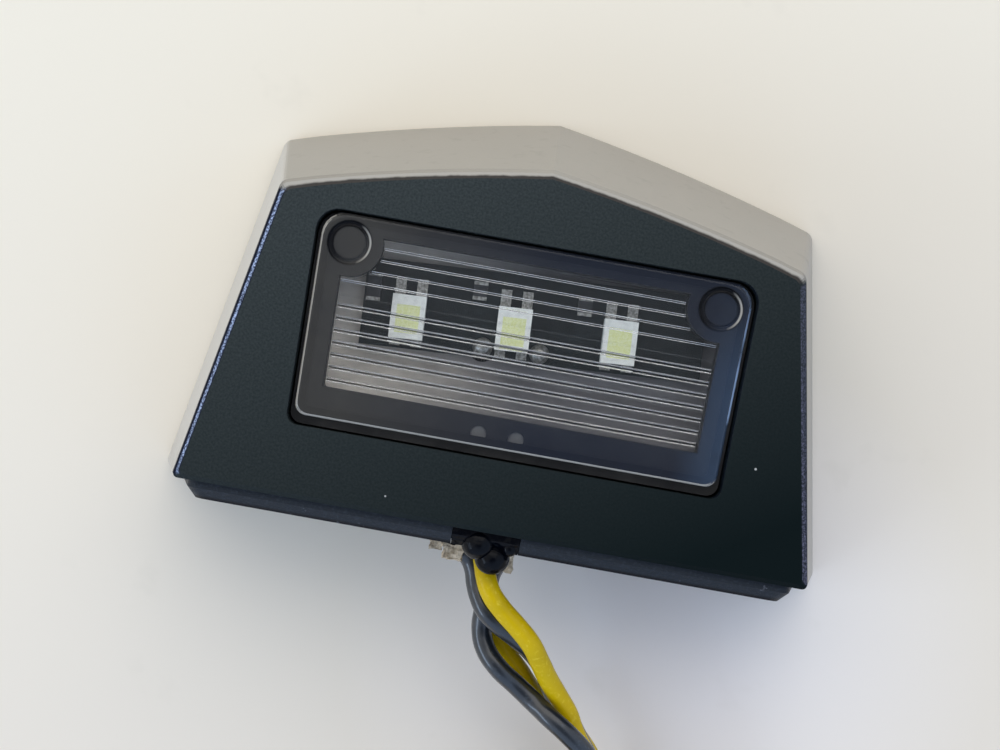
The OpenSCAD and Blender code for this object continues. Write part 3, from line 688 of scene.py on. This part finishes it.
class LAMP_OT_finish_mounting(bpy.types.Operator):
    """Gasket, lead seal and threaded inserts"""

    bl_idname = "lamp.finish_mounting"
    bl_label = "Mounting finishes"

    def execute(self, context):
        rubber = Finish("gasket rubber", (0.012, 0.014, 0.018), 0.5, specular_ior_level=0.2)
        pores = rubber.noise(3, 5, 0.7)
        shade = rubber.mix(rubber.ramp(pores, 0.5, 0.7), (0.012, 0.016, 0.022), (0.026, 0.032, 0.042))
        # Painted shade: a dark line along the gasket's outer edge
        rest_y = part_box("base_gasket")[0].y / MM
        rest = rubber.ramp(rubber.axis(1), rest_y + 0.35, rest_y + 0.15)
        shade = rubber.mix(rest, shade, (0.001, 0.001, 0.003))
        nick = rubber.ramp(rubber.noise(1.1, 5, 0.7), 0.66, 0.72)
        rubber.set("Base Color", rubber.mix(nick * 0.5, shade, (0.3, 0.31, 0.36)))
        rubber.set("Roughness", 0.35 + pores * 0.3)
        rubber.set("Normal", rubber.bump(pores, 0.12, 0.6))
        dress(rubber, "base_gasket")

        sealant = Finish(
            "sealant", (0.001, 0.0014, 0.003), 0.25, specular_ior_level=0.05, coat_weight=0.1, coat_roughness=0.08,
        )
        sealant.set("Roughness", 0.1 + sealant.noise(1.5, 4) * 0.15)
        sealant.set("Normal", sealant.bump(sealant.noise(0.6, 2), 0.5, 1))
        dress(sealant, "cable_seal")

        brass = Finish("brass", (0.6, 0.42, 0.16), 0.3, metallic=1.0)
        turns = brass.node("ShaderNodeTexWave", {"bands_direction": "Y"}, {"Vector": brass.place(), "Scale": 0.45})
        tarnish = brass.ramp(brass.noise(1.5, 4), 0.4, 0.7)
        brass.set("Base Color", brass.mix(tarnish, (0.6, 0.42, 0.16), (0.34, 0.23, 0.09)))
        brass.set("Normal", brass.bump(turns, 0.3, 0.8))
        dress(brass, "insert_left", "insert_right")
        return {"FINISHED"}


# Small pieces

def finished(piece, name, finish, slot, *replaced):
    """Names a modelled piece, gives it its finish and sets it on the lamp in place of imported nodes."""
    piece.name = name
    piece.data.materials.clear()
    piece.data.materials.append(finish.material)
    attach(piece, "root")
    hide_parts(*replaced)


def apply_modifier(piece, kind, **settings):
    """Adds a modifier to a piece and applies it."""
    modifier = piece.modifiers.new(kind.title(), kind)
    for name, value in settings.items():
        setattr(modifier, name, value)
    bpy.context.view_layer.objects.active = piece
    bpy.ops.object.modifier_apply(modifier=modifier.name)


class LAMP_OT_make_foam_scraps(bpy.types.Operator):
    """Torn scraps of foam tape beside the lead seal"""

    bl_idname = "lamp.make_foam_scraps"
    bl_label = "Foam scraps"

    def execute(self, context):
        colour = context.scene.lamp_finishes.foam[:]
        finish = Finish("tan foam", colour, 0.8)
        pores = finish.noise(2.5, 5, 0.7)
        finish.set("Base Color", finish.mix(finish.ramp(pores, 0.4, 0.65), [c * 0.6 for c in colour], colour))
        finish.set("Normal", finish.bump(pores, 0.2, 0.8))
        ragged = bpy.data.textures.new("ragged", "CLOUDS")
        ragged.noise_scale = FOAM_TEAR * MM
        for name in ("foam_left", "foam_scrap", "foam_right"):
            low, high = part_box(name)
            bpy.ops.object.select_all(action="DESELECT")
            bpy.ops.mesh.primitive_cube_add(size=1)
            piece = bpy.context.object
            size = Matrix.Diagonal((*(high - low), 1))
            piece.data.transform(Matrix.Translation((low + high) / 2) @ size)
            bpy.ops.object.mode_set(mode="EDIT")
            bpy.ops.mesh.select_all(action="SELECT")
            bpy.ops.mesh.subdivide(number_cuts=FOAM_CUTS)
            bpy.ops.object.mode_set(mode="OBJECT")
            apply_modifier(
                piece, "DISPLACE", texture=ragged, strength=FOAM_RAGGED * MM, mid_level=0.6, texture_coords="LOCAL",
            )
            finished(piece, name.replace("foam", "torn_foam"), finish, "foam", name)
        return {"FINISHED"}


# Stage

class LAMP_OT_set_stage(bpy.types.Operator):
    """A pale table under soft window light"""

    bl_idname = "lamp.set_stage"
    bl_label = "Stage"

    def execute(self, context):
        stage = context.scene.lamp_stage
        bpy.ops.object.select_all(action="DESELECT")
        bpy.ops.mesh.primitive_plane_add(size=TABLE_WIDTH, location=(0, 0, -TABLE_DROP))
        floor = bpy.context.object
        floor.name = "table"
        finish = Finish("table", stage.floor[:], 0.6)
        # Warm behind the lamp and cooler in front, with a pale patch beside the leads as painted light that lightens
        # their shadow, clouds and smudges
        cloud = finish.ramp(finish.noise(0.012, 3), 0.3, 0.7)
        warm = finish.ramp(finish.axis(1) - finish.axis(0) * 0.3, -35, 35)
        shade = finish.mix(warm, (0.716, 0.65, 0.556), stage.floor[:])
        across = finish.axis(0) - 18
        along = finish.axis(1) - WALL_Y / MM + 9
        beside = (across ** 2 + along ** 2) ** 0.5
        shade = finish.mix(finish.ramp(beside, 30, 6), shade, (0.82, 0.765, 0.73))
        shade = finish.mix(cloud * 0.03, shade, (0.3, 0.3, 0.3))
        smudge = finish.ramp(finish.noise(0.09, 4, 0.6), 0.63, 0.75)
        finish.set("Base Color", finish.mix(smudge * 0.18, shade, [c * 0.7 for c in stage.floor]))
        finish.set("Normal", finish.bump(finish.noise(0.8, 3), 0.05, 0.2))
        floor.data.materials.append(finish.material)

        # The sky has a bright side and a dark patch overhead, which the lens and the face reflect
        sky = Sky("soft sky")
        colour = sky.mix(sky.ramp(sky.toward(stage.sky_side), -0.6, 0.6), stage.shade[:], stage.sky[:])
        overhead = sky.ramp(sky.toward((0.05, -0.22, 1)), 0.86, 0.975) * 0.92
        colour = sky.mix(overhead, colour, (0.12, 0.125, 0.13))
        sky.feed(sky.background.inputs["Color"], colour)
        sky.background.inputs["Strength"].default_value = stage.sky_strength
        context.scene.world = sky.world

        for name, power, size, place, tint in (
            ("window", stage.window_power, (0.75, 0.55), (-0.04, 0.38, 0.42), (1, 0.97, 0.93)),
            ("side window", stage.side_power, (0.3, 0.1), (-0.34, -0.2, 0.22), (0.6, 0.77, 1)),
        ):
            light = bpy.data.lights.new(name, "AREA")
            light.shape = "RECTANGLE"
            light.size, light.size_y = size
            light.energy = power
            light.color = tint
            lamp = bpy.data.objects.new(name, light)
            context.scene.collection.objects.link(lamp)
            lamp.location = place
            lamp.rotation_euler = Vector(place).to_track_quat("Z", "Y").to_euler()
        context.scene.view_settings.view_transform = "Standard"
        return {"FINISHED"}


OPERATORS = (
    LAMP_OT_place_camera, LAMP_OT_make_leads, LAMP_OT_finish_hood, LAMP_OT_finish_body, LAMP_OT_finish_lens,
    LAMP_OT_finish_inside, LAMP_OT_finish_mounting, LAMP_OT_make_foam_scraps, LAMP_OT_set_stage,
)


class LAMP_PT_panel(bpy.types.Panel):
    """Lists the steps that dress the lamp"""

    bl_label = "Number plate lamp"
    bl_idname = "LAMP_PT_panel"
    bl_space_type = "VIEW_3D"
    bl_region_type = "UI"
    bl_category = "Lamp"

    def draw(self, context):
        for group in ("lamp_view", "lamp_finishes", "lamp_leads", "lamp_stage"):
            settings = getattr(context.scene, group)
            for name in settings.bl_rna.properties.keys():
                if name not in ("rna_type", "name"):
                    self.layout.prop(settings, name)
        for step in OPERATORS:
            self.layout.operator(step.bl_idname)


GROUPS = {"lamp_view": LampView, "lamp_finishes": LampFinishes, "lamp_leads": LampLeads, "lamp_stage": LampStage}


def register():
    for group in GROUPS.values():
        bpy.utils.register_class(group)
    for name, group in GROUPS.items():
        setattr(bpy.types.Scene, name, bpy.props.PointerProperty(type=group))
    for step in OPERATORS + (LAMP_PT_panel,):
        bpy.utils.register_class(step)


def unregister():
    for step in (LAMP_PT_panel,) + OPERATORS[::-1]:
        bpy.utils.unregister_class(step)
    for name in GROUPS:
        delattr(bpy.types.Scene, name)
    for group in GROUPS.values():
        bpy.utils.unregister_class(group)


def main():
    register()
    for step in OPERATORS:
        area, action = step.bl_idname.split(".")
        getattr(getattr(bpy.ops, area), action)()


if __name__ == "__main__":
    main()
